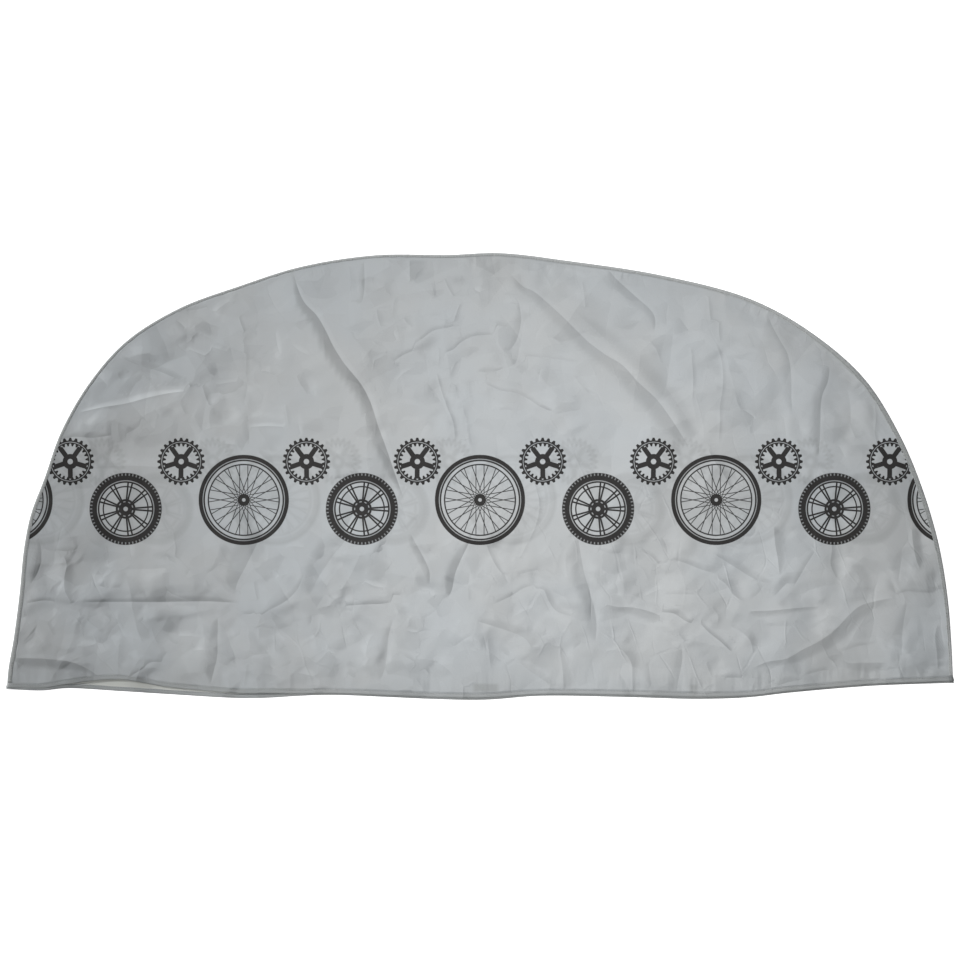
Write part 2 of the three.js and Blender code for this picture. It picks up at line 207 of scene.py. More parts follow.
# The creases of the front panel. Each is a crisp line with a side that lies in the shade, on the left
# as the points run: the width of that side, even or from the first point to the last, how much darker
# it is than the cloth, or lighter where negative, and the line's points.
CREASES = [
    # packing crease across the left, with the facets above and under it
    ((8, 10, 14, 14, 10), 0.20, [(-890, -279), (-800, -278), (-700, -278), (-600, -277), (-530, -281)]),
    ((12, 26, 36, 38, 30), 0.08, [(-885, -277), (-800, -276), (-700, -276), (-600, -275), (-535, -279)]),
    (30, -0.10, [(-690, -203), (-740, -205), (-795, -206)]),
    (30, 0.05, [(-898, -188), (-855, -189), (-810, -182)]),
    (12, -0.07, [(-805, -183), (-830, -194), (-860, -203)]),
    (10, -0.06, [(-792, -208), (-815, -217), (-848, -225)]),
    (14, -0.12, [(-777, -140), (-776, -165), (-772, -182)]),
    (22, -0.12, [(-832, -310), (-829, -285)]),
    (35, -0.13, [(-747, -283), (-746, -322)]),
    (25, -0.09, [(-815, -376), (-850, -368), (-893, -358)]),
    # left edge and corner
    (22, 0.20, [(-925, -172), (-917, -195), (-922, -225), (-920, -255), (-905, -282)]),
    (45, -0.15, [(-915, -255), (-925, -215), (-925, -180)]),
    (14, 0.14, [(-945, -163), (-915, -166), (-890, -160)]),
    (22, 0.17, [(-1000, -245), (-978, -205), (-973, -170), (-978, -140)]),
    (10, 0.18, [(-1010, -282), (-965, -275), (-930, -279), (-895, -281)]),
    (20, 0.12, [(-1025, -318), (-985, -300), (-940, -287)]),
    (10, -0.12, [(-885, -291), (-915, -287), (-945, -285)]),
    (10, 0.10, [(-962, -322), (-945, -355)]),
    (22, -0.10, [(-965, -370), (-972, -345), (-985, -332)]),
    (14, 0.08, [(-1000, -398), (-970, -392), (-948, -372)]),
    ((6, 14, 24, 26, 20), 0.17, [(-842, -446), (-868, -428), (-905, -412), (-960, -405), (-1038, -402)]),
    (45, 0.05, [(-905, -416), (-960, -409), (-1036, -406)]),
    # facets over the mouth
    ((16, 40, 60, 60, 45), 0.05, [(-785, -445), (-738, -405), (-698, -360), (-675, -325), (-660, -281)]),
    ((45, 50, 50, 30), -0.06, [(-650, -281), (-665, -325), (-688, -362), (-722, -398)]),
    (14, 0.10, [(-803, -300), (-801, -360), (-802, -410), (-803, -446)]),
    (10, 0.18, [(-780, -446), (-745, -424), (-733, -413), (-702, -411)]),
    (10, 0.10, [(-712, -445), (-695, -415)]),
    ((14, 24, 26, 20, 12), 0.24, [(-598, -463), (-590, -430), (-583, -400), (-582, -355), (-581, -308)]),
    (36, -0.05, [(-622, -410), (-612, -370), (-603, -330)]),
    (10, 0.10, [(-577, -378), (-555, -364), (-525, -345)]),
    ((20, 35, 45, 40, 30), 0.18, [(-545, -262), (-538, -235), (-520, -200), (-494, -148), (-478, -118)]),
    # crossed folds left of the middle
    (10, 0.16, [(-502, -228), (-499, -252), (-494, -276)]),
    ((30, 35, 40, 45, 40, 30), 0.13, [
        (-382, -268), (-362, -230), (-341, -197), (-322, -170), (-303, -148), (-288, -115)]),
    (40, 0.16, [(-308, -135), (-290, -100), (-277, -66), (-300, -25)]),
    (12, 0.16, [(-492, -312), (-465, -295), (-432, -277), (-405, -250), (-390, -215)]),
    (10, 0.12, [(-462, -325), (-440, -302), (-408, -285)]),
    (50, 0.10, [(-225, -245), (-208, -205), (-207, -165), (-210, -130)]),
    (35, 0.10, [(-262, -165), (-285, -215), (-318, -268)]),
    (10, 0.20, [(-303, -287), (-260, -284), (-215, -282), (-192, -278)]),
    (26, 0.05, [(-300, -272), (-340, -270), (-380, -268)]),
    (10, -0.10, [(-275, -266), (-325, -268)]),
    (10, 0.12, [(-205, -262), (-170, -264)]),
    ((20, 24, 20, 12, 10), 0.17, [(-222, -455), (-214, -435), (-207, -400), (-203, -355), (-191, -312)]),
    (10, -0.15, [(-190, -312), (-195, -345), (-203, -385), (-206, -420)]),
    (10, 0.12, [(-156, -310), (-160, -338)]),
    (50, 0.06, [(-135, -395), (-118, -355), (-98, -318)]),
    ((18, 34, 42, 42, 26), 0.07, [(-56, -445), (-75, -425), (-100, -410), (-135, -406), (-170, -430)]),
    (40, 0.07, [(-303, -408), (-333, -433), (-352, -470)]),
    (16, -0.08, [(-285, -470), (-290, -440), (-298, -412)]),
    (25, 0.05, [(-285, -412), (-283, -468)]),
    (20, -0.10, [(-354, -470), (-358, -440)]),
    (10, 0.10, [(-450, -424), (-432, -421), (-418, -413)]),
    (10, 0.12, [(-516, -410), (-520, -440), (-524, -468)]),
    (10, -0.12, [(-466, -393), (-508, -396)]),
    (35, 0.10, [(-491, -330), (-490, -360), (-490, -392)]),
    (16, -0.10, [(-361, -402), (-363, -370), (-372, -345)]),
    ((10, 16, 18, 16, 12), 0.26, [(-112, -240), (-112, -212), (-125, -180), (-142, -150), (-155, -125)]),
    ((16, 22, 24, 20, 12, 10), 0.27, [
        (-72, -272), (-62, -250), (-55, -215), (-38, -175), (-25, -148), (-15, -120)]),
    (12, 0.06, [(-178, -262), (-130, -250), (-90, -240)]),
    (10, 0.10, [(-27, -240), (-25, -275)]),
    # middle, under the print
    (10, 0.18, [(12, -145), (26, -180), (41, -206), (54, -220)]),
    (10, 0.12, [(50, -219), (75, -218), (100, -214), (135, -205)]),
    (10, 0.10, [(58, -222), (52, -234), (43, -245)]),
    (10, 0.14, [(108, -135), (97, -165), (85, -185)]),
    (14, -0.12, [(70, -195), (85, -170), (97, -145)]),
    (10, 0.15, [(30, -283), (68, -266), (98, -247), (125, -240)]),
    (14, 0.13, [(112, -250), (140, -251), (152, -275), (168, -297), (210, -313)]),
    ((12, 16, 22, 28, 30), 0.13, [(-10, -320), (30, -332), (72, -346), (100, -360), (118, -385)]),
    (45, 0.07, [(170, -395), (165, -360), (120, -333)]),
    (14, -0.10, [(105, -395), (100, -375), (75, -358), (35, -340)]),
    (16, 0.12, [(17, -342), (19, -380), (24, -425)]),
    (16, 0.13, [(84, -411), (118, -436), (150, -458), (172, -470)]),
    ((10, 12, 22, 30), 0.18, [(176, -370), (180, -402), (184, -435), (186, -476)]),
    (22, -0.10, [(208, -425), (209, -380), (200, -345), (190, -322)]),
    ((22, 26, 26, 32, 28, 20), 0.17, [
        (256, -372), (258, -320), (248, -270), (231, -213), (222, -165), (216, -125)]),
    (20, 0.10, [(250, -300), (245, -275), (236, -250)]),
    (14, -0.10, [(194, -225), (190, -195), (192, -160)]),
    (16, -0.08, [(232, -165), (240, -205), (255, -250)]),
    (10, 0.12, [(168, -285), (195, -291), (220, -291)]),
    (10, 0.13, [(258, -297), (285, -300), (310, -306)]),
    ((12, 26, 20, 12, 10), 0.20, [(415, -316), (378, -300), (341, -291), (304, -289), (272, -282)]),
    (14, 0.24, [(402, -301), (430, -304), (455, -320), (475, -328)]),
    (10, 0.25, [(485, -322), (507, -345), (532, -365), (560, -391)]),
    (10, 0.12, [(415, -310), (425, -325), (438, -340)]),
    (12, 0.10, [(388, -337), (410, -343), (433, -353)]),
    (10, 0.18, [(436, -346), (446, -356), (457, -370)]),
    (10, 0.10, [(405, -260), (440, -261), (482, -262)]),
    (20, 0.05, [(335, -270), (370, -272), (400, -268)]),
    ((18, 18, 14, 10, 10), 0.17, [(306, -378), (322, -392), (336, -415), (338, -445), (339, -482)]),
    (10, 0.10, [(346, -390), (344, -420)]),
    ((22, 22, 18, 16, 10), 0.17, [(436, -482), (440, -450), (446, -425), (449, -395), (444, -365)]),
    (10, 0.10, [(458, -375), (466, -405), (473, -435)]),
    (10, 0.12, [(500, -410), (508, -430), (516, -448)]),
    (10, 0.16, [(536, -447), (565, -446), (590, -447)]),
    (10, 0.14, [(352, -163), (378, -176), (392, -190), (400, -198)]),
    (10, 0.06, [(330, -190), (358, -202), (375, -235), (390, -262)]),
    (10, 0.08, [(406, -217), (432, -213), (448, -216)]),
    ((10, 12, 16, 22), 0.14, [(424, -183), (455, -192), (490, -206), (530, -218)]),
    (18, 0.13, [(520, -222), (545, -238), (562, -262), (585, -278)]),
    (18, 0.11, [(515, -170), (545, -188), (580, -210), (615, -230), (660, -240)]),
    # right of the middle
    ((24, 22, 18, 8), 0.26, [(652, -110), (655, -150), (661, -185), (664, -220)]),
    (18, 0.16, [(652, -268), (672, -245), (695, -220)]),
    (12, 0.20, [(695, -246), (718, -206), (744, -164)]),
    (12, 0.18, [(776, -125), (781, -160), (778, -195), (793, -230)]),
    (10, 0.10, [(757, -150), (768, -190), (780, -215)]),
    ((10, 10, 14, 18), 0.20, [(758, -288), (700, -292), (650, -297), (594, -299)]),
    (26, 0.10, [(660, -290), (705, -264), (750, -246), (798, -238)]),
    (14, 0.06, [(628, -330), (680, -332), (735, -326)]),
    (18, 0.12, [(552, -330), (580, -345), (600, -365), (606, -395)]),
    (10, 0.12, [(598, -352), (612, -375), (620, -388)]),
    (12, 0.14, [(512, -287), (528, -310), (522, -340)]),
    (14, 0.16, [(614, -440), (606, -462), (602, -482)]),
    # right corner
    ((10, 16, 30, 32, 30, 26, 24, 14, 14, 12), 0.24, [
        (925, -268), (880, -276), (842, -288), (815, -311), (790, -338), (755, -364), (716, -384),
        (680, -404), (638, -411), (597, -428)]),
    (10, 0.12, [(872, -296), (900, -288), (925, -282)]),
    (8, 0.16, [(925, -262), (945, -255), (980, -257), (1012, -259)]),
    (12, 0.10, [(944, -238), (965, -242), (985, -248), (1010, -247)]),
    (10, 0.10, [(806, -278), (835, -275), (858, -275)]),
    (30, -0.06, [(1012, -198), (985, -196), (952, -212)]),
    ((20, 24, 22, 10, 8), 0.14, [(930, -440), (935, -395), (937, -345), (942, -310), (951, -262)]),
    (14, 0.09, [(968, -305), (970, -340), (975, -375)]),
    (40, 0.05, [(985, -360), (962, -397), (938, -430)]),
    (16, 0.12, [(966, -418), (974, -438), (984, -452)]),
    ((10, 16, 22, 16), 0.26, [(1016, -325), (1010, -355), (1014, -395), (1016, -430)]),
    ((20, 22, 20, 10), 0.26, [(957, -110), (961, -150), (968, -185), (977, -208)]),
    ((30, 30, 24, 8), 0.14, [(928, -262), (929, -225), (934, -190), (941, -158)]),
    (24, 0.08, [(803, -188), (835, -215), (868, -268)]),
    (18, -0.12, [(850, -195), (825, -180), (803, -178)]),
    ((22, 26, 18, 10), 0.15, [(900, -413), (850, -413), (815, -413), (803, -402)]),
    (10, 0.12, [(718, -441), (745, -434), (778, -428)]),
    (14, 0.12, [(655, -466), (690, -455), (720, -450)]),
    (24, 0.09, [(800, -392), (760, -405), (718, -434)]),
    (10, 0.10, [(798, -390), (835, -378), (880, -370)]),
    # left shoulder
    (14, -0.30, [(-893, 141), (-840, 153), (-785, 162), (-740, 174), (-695, 184), (-648, 190)]),
    (14, 0.14, [(-800, 266), (-765, 250), (-705, 231), (-670, 215), (-645, 203), (-636, 180)]),
    (40, 0.05, [(-790, 180), (-740, 192), (-690, 200), (-655, 203)]),
    ((12, 30, 32, 20), 0.11, [(-688, 258), (-698, 292), (-713, 322), (-724, 352)]),
    (16, 0.15, [(-645, 308), (-656, 332), (-678, 350)]),
    (10, 0.20, [(-636, 322), (-643, 292)]),
    (10, 0.14, [(-650, 368), (-625, 371), (-600, 378)]),
    (10, 0.20, [(-536, 358), (-530, 338), (-522, 320)]),
    (10, 0.10, [(-521, 318), (-518, 270), (-519, 225), (-513, 188)]),
    (30, 0.09, [(-510, 290), (-500, 320), (-490, 340)]),
    (10, 0.10, [(-512, 268), (-472, 231), (-448, 222)]),
    ((10, 16, 8), 0.22, [(-618, 207), (-610, 180), (-600, 156)]),
    (12, -0.14, [(-598, 155), (-585, 168), (-572, 182)]),
    (40, 0.12, [(-570, 183), (-590, 160), (-600, 140), (-598, 105)]),
    (10, -0.12, [(-612, 201), (-575, 206), (-535, 212)]),
    (10, -0.14, [(-512, 134), (-470, 133), (-435, 130)]),
    (10, -0.20, [(-512, 110), (-470, 112), (-433, 110)]),
    (16, 0.16, [(-512, 70), (-512, 105), (-516, 142)]),
    (10, 0.10, [(-552, 108), (-535, 118), (-518, 138)]),
    (14, 0.18, [(-930, 82), (-900, 88), (-860, 86), (-815, 92)]),
    (14, 0.12, [(-790, 92), (-765, 105), (-750, 116)]),
    (14, 0.11, [(-770, 80), (-745, 88), (-722, 100)]),
    (14, -0.14, [(-870, 103), (-852, 125), (-845, 140)]),
    (14, -0.14, [(-590, 362), (-570, 380), (-552, 392)]),
    (10, 0.12, [(-578, 358), (-560, 375), (-540, 385)]),
    (26, -0.10, [(-880, 20), (-780, 24), (-700, 20), (-610, 12)]),
    # pleat left of the middle
    ((12, 16, 22, 26, 26, 26, 28, 28, 28, 26, 22, 18, 12), 0.30, [
        (-165, -60), (-190, 10), (-207, 60), (-226, 112), (-242, 162), (-262, 202), (-302, 252),
        (-326, 290), (-342, 323), (-362, 357), (-390, 387), (-408, 430), (-415, 462)]),
    (12, -0.10, [(-262, 228), (-248, 190), (-238, 150), (-228, 105)]),
    (16, 0.14, [(-408, 226), (-398, 205), (-380, 180)]),
    (12, 0.12, [(-433, 160), (-428, 135), (-424, 110)]),
    (12, -0.12, [(-405, 140), (-402, 115), (-398, 92)]),
    # crown
    (14, 0.20, [(-262, 385), (-257, 410), (-256, 440), (-258, 480)]),
    (10, 0.12, [(-289, 465), (-286, 430), (-281, 395)]),
    ((40, 34, 10), 0.20, [(-156, 484), (-156, 460), (-155, 428)]),
    (14, 0.10, [(-230, 376), (-226, 350), (-218, 328)]),
    (20, 0.06, [(-214, 432), (-205, 405), (-190, 395)]),
    (10, 0.14, [(-80, 440), (-70, 418), (-58, 398)]),
    (10, 0.10, [(-42, 445), (-48, 420), (-50, 398)]),
    (10, 0.18, [(-42, 390), (-52, 363), (-60, 337)]),
    (10, 0.17, [(-150, 291), (-125, 308), (-105, 323), (-78, 329), (-42, 337)]),
    (10, 0.15, [(-194, 255), (-165, 272), (-140, 281), (-108, 290)]),
    (10, 0.10, [(-196, 222), (-180, 234), (-155, 244)]),
    (10, -0.14, [(-245, 253), (-225, 262), (-208, 270)]),
    (10, -0.12, [(-190, 206), (-175, 225), (-148, 242)]),
    (10, 0.15, [(-82, 272), (-58, 283), (-40, 299), (-15, 311), (35, 315)]),
    (10, 0.15, [(-48, 265), (-62, 237), (-72, 205)]),
    (10, 0.12, [(-92, 290), (-91, 262), (-93, 240)]),
    (10, 0.20, [(-97, 232), (-86, 192), (-74, 157), (-59, 118), (-55, 80)]),
    (16, 0.15, [(-92, 180), (-98, 200), (-97, 220)]),
    (10, 0.18, [(-56, 210), (-50, 165), (-37, 140), (-30, 105), (-22, 66)]),
    (10, 0.14, [(-25, 218), (-25, 185), (-22, 163), (-36, 141)]),
    (10, 0.12, [(5, 210), (45, 191), (80, 185), (105, 173), (135, 154), (168, 141)]),
    (16, 0.16, [(62, 275), (80, 300), (91, 345), (86, 390)]),
    (10, 0.10, [(50, 404), (70, 402), (90, 398)]),
    (10, 0.12, [(226, 436), (231, 405), (234, 372)]),
    (20, -0.10, [(224, 395), (223, 420)]),
    (10, 0.10, [(95, 268), (165, 261), (222, 252)]),
    (10, 0.10, [(48, 241), (70, 243), (84, 262)]),
    # long diagonal ridge, with a shaded side on either hand
    ((28, 32, 36, 36, 36, 32, 28, 26, 26, 26, 22, 20, 16), 0.15, [
        (470, 55), (424, 128), (390, 173), (353, 207), (316, 247), (279, 270), (242, 297), (216, 322),
        (187, 351), (150, 385), (117, 412), (98, 420), (57, 460)]),
    ((10, 20, 30, 32, 34, 36, 30, 22), 0.10, [
        (200, 372), (235, 341), (285, 293), (333, 250), (378, 203), (427, 148), (455, 100), (475, 65)]),
    (16, 0.18, [(505, 62), (520, 35), (540, 5), (560, -30)]),
    ((10, 16, 24, 20, 12), 0.17, [(388, 318), (386, 358), (340, 404), (303, 438), (280, 465)]),
    # right shoulder
    (10, 0.16, [(506, 402), (509, 372), (512, 344)]),
    (10, 0.17, [(468, 287), (471, 250), (473, 215), (471, 165)]),
    (10, 0.10, [(432, 211), (448, 212), (465, 204)]),
    (30, 0.07, [(468, 318), (455, 335), (440, 357)]),
    (10, 0.07, [(376, 302), (392, 280), (402, 250)]),
    (10, 0.16, [(531, 350), (530, 325), (533, 298)]),
    (10, 0.15, [(522, 296), (534, 266), (539, 232), (538, 192), (533, 160), (532, 115), (529, 70)]),
    (14, 0.11, [(545, 215), (565, 182), (575, 155), (595, 130), (600, 90)]),
    (10, -0.12, [(582, 150), (600, 138), (612, 128)]),
    (25, 0.09, [(498, 248), (528, 220)]),
    ((14, 18, 20, 18, 12, 10, 10), 0.14, [
        (695, 135), (691, 165), (690, 225), (683, 270), (664, 305), (648, 335), (637, 363)]),
    (20, 0.07, [(708, 65), (708, 110), (702, 150)]),
    (22, 0.07, [(672, 65), (662, 110), (658, 160), (656, 215), (650, 245)]),
    (14, -0.08, [(667, 230), (672, 150), (682, 70)]),
    (10, 0.10, [(600, 296), (622, 284), (646, 284)]),
    (10, 0.10, [(632, 276), (628, 250), (624, 235)]),
    (14, 0.10, [(742, 252), (770, 258), (790, 262)]),
    ((18, 18, 20, 22, 16, 14), 0.25, [
        (750, 40), (753, 70), (755, 110), (758, 175), (772, 212), (776, 250)]),
    (10, 0.12, [(772, 292), (764, 268)]),
    (30, 0.08, [(790, 145), (782, 110), (780, 65)]),
    (40, -0.10, [(815, 195), (822, 150), (820, 70)]),
    (12, 0.16, [(875, 170), (878, 130), (876, 95), (882, 65)]),
    (16, 0.12, [(800, 250), (825, 228), (850, 210)]),
    (14, 0.10, [(690, 345), (715, 328), (735, 310)]),
    # behind the print
    (10, 0.16, [(100, 20), (120, -15), (132, -60), (125, -105), (105, -150)]),
    (10, 0.13, [(110, 42), (150, 33), (205, 32)]),
    (10, 0.15, [(574, 40), (573, 5)]),
    (12, 0.16, [(875, 32), (900, 38), (950, 36)]),
    (10, 0.16, [(-330, -6), (-300, -3), (-270, -1)]),
]

# Patches of small crinkles: middle x and y, half width and half height, how many, heading and spread
# in degrees, length, width and shade.
CRINKLES = [
    (0, -290, 330, 150, 90, 20, 90, 50, 9, 0.10),
    (620, -300, 330, 160, 80, 20, 90, 50, 9, 0.095),
    (-780, -330, 250, 140, 75, 20, 90, 45, 9, 0.10),
    (-400, -300, 200, 170, 60, 50, 90, 45, 9, 0.09),
    (-30, 260, 260, 200, 75, -50, 70, 50, 9, 0.09),
    (620, 150, 280, 190, 50, -80, 40, 55, 9, 0.08),
    (-650, 200, 270, 190, 80, -60, 60, 50, 9, 0.095),
    (0, -60, 1000, 180, 80, -75, 60, 50, 9, 0.08),
]

# How crinkles vary: shares of their length, shade and width, and bow as a share of half the length.
CRINKLE_REACH = (0.5, 1.3)
CRINKLE_SHADE = (0.4, 1.3)
CRINKLE_WIDTH = (0.9, 1.9)
CRINKLE_BOW = 0.25

# Doubled patches that show through the hem: x and y of two corners.
TUCKS = [(-14, -478, 40, -460), (466, -492, 482, -462)]


def smoothstep(value, low, high):
    share = np.clip((value - low) / (high - low), 0, 1)
    return share * share * (3 - 2 * share)


def unit(vectors):
    return vectors / np.linalg.norm(vectors, axis=1)[:, None]


def smooth_path(points, step):
    """Points about step apart on a centripetal curve through the given ones."""
    given = np.array(points, float)
    given = np.vstack([2 * given[0] - given[1], given, 2 * given[-1] - given[-2]])
    parts = []
    for a, b, c, d in zip(given, given[1:], given[2:], given[3:]):
        t1 = np.linalg.norm(b - a) ** 0.5
        t2 = t1 + np.linalg.norm(c - b) ** 0.5
        t3 = t2 + np.linalg.norm(d - c) ** 0.5
        t = np.linspace(t1, t2, SPAN_POINTS, endpoint=False)[:, None]
        ab = (a * (t1 - t) + b * t) / t1
        bc = (b * (t2 - t) + c * (t - t1)) / (t2 - t1)
        cd = (c * (t3 - t) + d * (t - t2)) / (t3 - t2)
        abc = (ab * (t2 - t) + bc * t) / t2
        bcd = (bc * (t3 - t) + cd * (t - t1)) / (t3 - t1)
        parts.append((abc * (t2 - t) + bcd * (t - t1)) / (t2 - t1))
    fine = np.vstack(parts + [given[-2:-1]])
    run = np.concatenate([[0], np.cumsum(np.linalg.norm(np.diff(fine, axis=0), axis=1))])
    even = np.linspace(0, run[-1], max(3, round(run[-1] / step) + 1))
    return np.column_stack([np.interp(even, run, column) for column in fine.T])


def at_share(path, share):
    steps = np.linspace(0, 1, len(path))
    return np.column_stack([np.interp(share, steps, column) for column in path.T])


edge_path = smooth_path(CURVED_EDGE, EDGE_STEP)
edge_along = unit(np.gradient(edge_path, axis=0))
edge_in = np.column_stack([edge_along[:, 1], -edge_along[:, 0]])
edge_length = EDGE_STEP * len(edge_path)
hem_path = smooth_path(HEM_EDGE, EDGE_STEP)
edge_tree = KDTree(len(edge_path))
for index, (x, y) in enumerate(edge_path):
    edge_tree.insert((x, y, 0), index)
edge_tree.balance()


def hem_line(lag_share):
    """The hem's edge, left to right, with a share of the distance that the front one lies short."""
    return np.column_stack([hem_path[:, 0], hem_path[:, 1] + lag_share * hem_path[:, 2]])


def to_seam(plan):
    """Distance of each point from the curved edge, and its place along that edge."""
    found = [edge_tree.find((x, y, 0)) for x, y in plan]
    return np.array([f[2] for f in found]), np.array([f[1] for f in found]) * EDGE_STEP


def to_hem(plan, lag_share):
    """Distance of each point above the hem's edge."""
    return plan[:, 1] - np.interp(plan[:, 0], *hem_line(lag_share).T)


def ripple(place, shortest, longest, seed):
    """Uneven waves along a line, between about -1 and 1."""
    draw = np.random.default_rng(seed)
    lengths = draw.uniform(shortest, longest, LINE_WAVES)
    phases = draw.uniform(0, TURN, LINE_WAVES)
    return np.sin(place[:, None] * TURN / lengths + phases).sum(1) / LINE_WAVE_SUM


def drift(plan, shortest, longest, seed):
    """Uneven waves in all directions over the cloth, between about -1 and 1."""
    draw = np.random.default_rng(seed)
    lengths = draw.uniform(shortest, longest, CLOTH_WAVES)
    headings = draw.uniform(0, TURN, CLOTH_WAVES)
    phases = draw.uniform(0, TURN, CLOTH_WAVES)
    ways = np.column_stack([np.cos(headings), np.sin(headings)]) / lengths[:, None]
    return np.sin(plan @ ways.T * TURN + phases).sum(1) / CLOTH_WAVE_SUM


def random_crinkles():
    """Rows like those of the creases, for the patches of small crinkles."""
    rows = []
    for x, y, half_width, half_height, count, heading, spread, length, width, shade in CRINKLES:
        for _ in range(count):
            angle = np.radians(heading + chance.uniform(-spread, spread))
            reach = length * chance.uniform(*CRINKLE_REACH)
            across, up = half_width * chance.uniform(-1, 1), half_height * chance.uniform(-1, 1)
            middle = np.array([x + across, y + up])
            half = np.array([np.cos(angle), np.sin(angle)]) * reach / 2
            bow = np.array([-half[1], half[0]]) * chance.uniform(-CRINKLE_BOW, CRINKLE_BOW)
            tone = shade * chance.uniform(*CRINKLE_SHADE) * chance.choice([-1, 1])
            points = [middle - half, middle + bow, middle + half]
            rows.append((width * chance.uniform(*CRINKLE_WIDTH), tone, points))
    return rows


strongest_first = sorted(CREASES + random_crinkles(), key=lambda row: -abs(row[1]))


def beside(plan, crease):
    """The points near a crease: which they are, their distance to its left, the width of its shaded
    side and its strength there, which fades out at the ends, and how far that side looks at the light."""
    width, _, points = crease
    path = smooth_path(points, CREASE_STEP)
    along = unit(np.gradient(path, axis=0))
    to_left = np.column_stack([-along[:, 1], along[:, 0]])
    margin = np.max(width) + max(FALL_OFF * np.max(width), LEAST_FALL)
    inside = (plan > path.min(0) - margin) & (plan < path.max(0) + margin)
    near = np.flatnonzero(inside.all(1))
    away = plan[near][:, None, :] - path[None, :, :]
    nearest = (away ** 2).sum(2).argmin(1)
    left = (away[np.arange(len(near)), nearest] * to_left[nearest]).sum(1)
    share = nearest / (len(path) - 1)
    ends = np.minimum(share, 1 - share)
    run_out = EVEN_RUN_OUT if np.size(width) == 1 else GIVEN_RUN_OUT
    widths = np.interp(share, np.linspace(0, 1, np.size(width)), np.atleast_1d(width))
    widths = np.maximum(widths * np.minimum(ends / run_out, 1) ** RUN_OUT_POWER, LEAST_WIDTH)
    return near, left, widths, smoothstep(ends, 0, FADE), (to_left @ TOWARDS_LIGHT).mean()


def soft_run(distance):
    """Distance beyond a line, rounded off within the blur on either side of it."""
    return np.where(distance > BLUR, distance, np.maximum(distance + BLUR, 0) ** 2 / (4 * BLUR))


def lift(run, width):
    """Rise of a side that starts with slope 1 at the line, levels out over its width and sinks again."""
    share = np.clip(run / width, 0, 1)
    level = share - share ** (FLATNESS + 1) / (FLATNESS + 1)
    return width * level * (1 - smoothstep(run, width, width + np.maximum(FALL_OFF * width, LEAST_FALL)))


def lay_creases(plan):
    """What the creases do at each point: its height, its painted shade, the line whose edge it carries, as
    the distance to its left, its width and the step of its painted shade, and how far the slope bends at
    that line. Where lines crowd, the strongest is crisp and the others stay soft."""
    height, shade, bend = np.zeros((3, len(plan)))
    line = np.tile((0.0, 1.0, 0.0), (len(plan), 1))
    taken = np.full(len(plan), FAR)
    for crease in strongest_first:
        near, left, width, fade, facing = beside(plan, crease)
        held = np.copysign(max(abs(facing), LEAST_FACING), facing)
        shown = crease[1] * np.interp(np.mean(crease[2], axis=0)[0], *zip(*SHOWN)) * fade
        share = min(RELIEF, MOST_RISE * abs(held) / (abs(crease[1]) * np.max(crease[0])))
        slope = share * shown / held
        # tone is the part of the crease's shade painted into the cloth's colour: the mesh carries its soft
        # part and the line its sharp step, with the lit lip as painted light.
        tone = shown * (1 - share * facing / held)
        lip_width = LIP_SHARE * width
        height[near] += slope * (lift(soft_run(left), width) + LIP * lift(soft_run(-left), lip_width))
        distance = np.where(fade > LEAST_FADE, np.abs(left), FAR)
        taken_by = taken[near]
        owned = (distance < OWN_REACH) & (taken_by > OWN_REACH)
        taken[near] = np.minimum(taken_by, distance)
        crisp = owned * (1 - smoothstep(distance, CRISP_REACH, OWN_REACH))
        crisp = crisp * smoothstep(taken_by, OWN_REACH, CLEAR_REACH)
        side = smoothstep(left, -BLUR, BLUR)
        power = np.clip(width / FLATNESS_WIDTH, LEAST_FLATNESS, FLATNESS)
        shaded = 1 - np.clip(left / width, 0, 1) ** power
        lit = LIP * (1 - np.clip(-left / lip_width, 0, 1) ** power)
        shade[near] += (1 - crisp) * tone * (shaded * side - lit * (1 - side))
        line[near[owned]] = np.column_stack([left, width, crisp * tone])[owned]
        bend[near[owned]] = (crisp * slope * (1 + LIP))[owned]
    return height, shade, line, bend


def pucker_strip(distance):
    """1 in the strip beside a sewn edge where the cloth puckers, and 0 outside it."""
    return smoothstep(distance, *PUCKERS_BEGIN) * (1 - smoothstep(distance, *PUCKERS_END))


def front_height(plan):
    """Height of the front panel's outer face."""
    seam, place = to_seam(plan)
    hem = to_hem(plan, 1)
    folds = lay_creases(plan)[0]
    for rise, *waves in LYING_WAVES:
        folds += rise * drift(plan, *waves)
    from_mouth = (plan[:, 0] - MOUTH_X) / MOUTH_HALF_LENGTH
    folds += MOUTH_RISE * np.exp(-from_mouth ** 2 - (hem / MOUTH_REACH) ** 2)
    rest = FRONT_EDGE_Z + (FRONT_LIE_Z - FRONT_EDGE_Z) * smoothstep(seam, *FRONT_RISES)
    gather = LEAST_GATHER + GATHER * (1 + ripple(place, *GATHER_WAVES))
    by_seam = pucker_strip(seam) * gather * ripple(place, *SEAM_PUCKERS)
    by_hem = pucker_strip(hem) * smoothstep(seam, *HEM_PUCKERS_SET_IN) * ripple(plan[:, 0], *HEM_PUCKERS)
    puckers = by_seam + HEM_PUCKER_SHARE * by_hem
    level = rest + smoothstep(seam, *FOLDS_SET_IN) * folds + PUCKER_RISE * puckers
    return np.maximum(level, LOWEST_FRONT_Z)


def back_height(plan):
    """Height of the back panel's outer face, which lies on the floor."""
    return BACK_LIE_Z + (BACK_EDGE_Z - BACK_LIE_Z) * (1 - smoothstep(to_seam(plan)[0], *BACK_SINKS))


